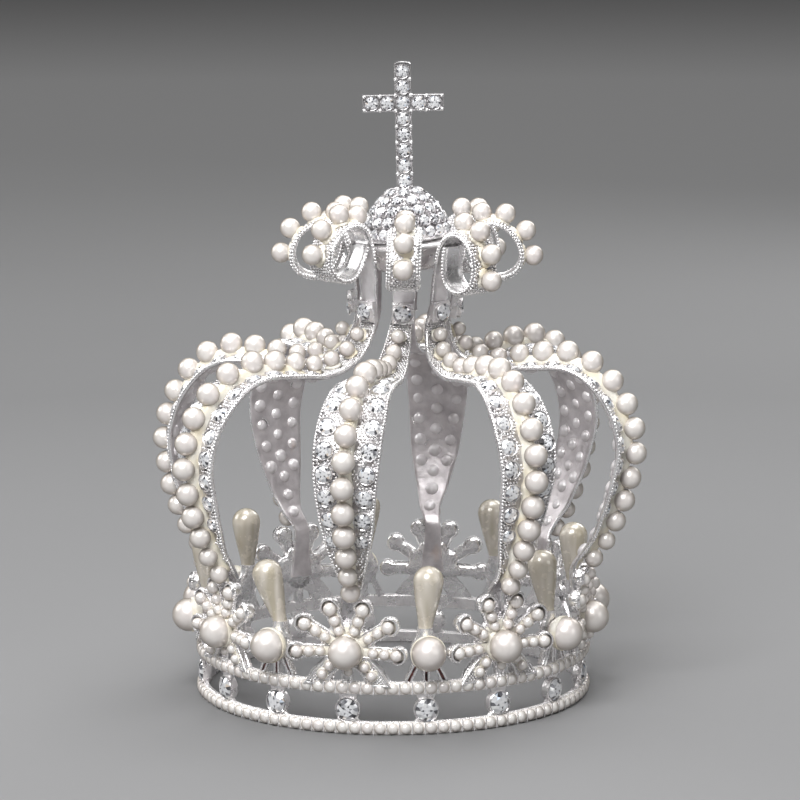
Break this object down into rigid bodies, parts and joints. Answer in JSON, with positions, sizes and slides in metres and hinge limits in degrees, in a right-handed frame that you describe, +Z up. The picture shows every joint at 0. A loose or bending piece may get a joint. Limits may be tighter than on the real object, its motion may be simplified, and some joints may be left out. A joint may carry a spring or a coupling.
{
  "type": "bridal crown",
  "caption": "Tall closed bridal crown: a double pearl head band, pearl florets and drops, S-curved jewelled arches that roll into scrolls, and a domed top with a cross.",
  "frame": {"origin": "middle of the crown's box at the underside of the lower head band, which stands on Z = 0", "axes": "+Z up through the dome, -Y towards the pictured front, +X to the pictured right"},
  "size_m": [0.128, 0.129, 0.163],
  "materials": {
    "silver": "bright silver plate",
    "pearl": "pearl lustre",
    "cream_glass": "glossy champagne pearl",
    "crystal": "foil-backed cut crystal"
  },
  "bodies": {
    "root": {"band_lower": "silver", "band_upper": "silver", "rim_pearls_lower": "pearl", "rim_pearls_upper": "pearl", "base_crystals": "crystal", "floret_1": "silver", "floret_2": "silver", "floret_3": "silver", "floret_4": "silver", "floret_5": "silver", "floret_6": "silver", "floret_7": "silver", "floret_8": "silver", "floret_pearl_1": "pearl", "floret_pearl_2": "pearl", "floret_pearl_3": "pearl", "floret_pearl_4": "pearl", "floret_pearl_5": "pearl", "floret_pearl_6": "pearl", "floret_pearl_7": "pearl", "floret_pearl_8": "pearl", "drop_pearl_1": "pearl", "drop_pearl_2": "pearl", "drop_pearl_3": "pearl", "drop_pearl_4": "pearl", "drop_pearl_5": "pearl", "drop_pearl_6": "pearl", "drop_pearl_7": "pearl", "drop_pearl_8": "pearl", "teardrop_1": "cream_glass", "teardrop_2": "cream_glass", "teardrop_3": "cream_glass", "teardrop_4": "cream_glass", "teardrop_5": "cream_glass", "teardrop_6": "cream_glass", "teardrop_7": "cream_glass", "teardrop_8": "cream_glass", "arch_1": "silver", "arch_2": "silver", "arch_3": "silver", "arch_4": "silver", "arch_5": "silver", "arch_6": "silver", "arch_7": "silver", "arch_8": "silver", "arch_pearls_1": "pearl", "arch_pearls_2": "pearl", "arch_pearls_3": "pearl", "arch_pearls_4": "pearl", "arch_pearls_5": "pearl", "arch_pearls_6": "pearl", "arch_pearls_7": "pearl", "arch_pearls_8": "pearl", "neck_stones": "crystal", "dome": "silver", "cross": "silver", "cross_stones": "crystal"}
  },
  "joints": []
}
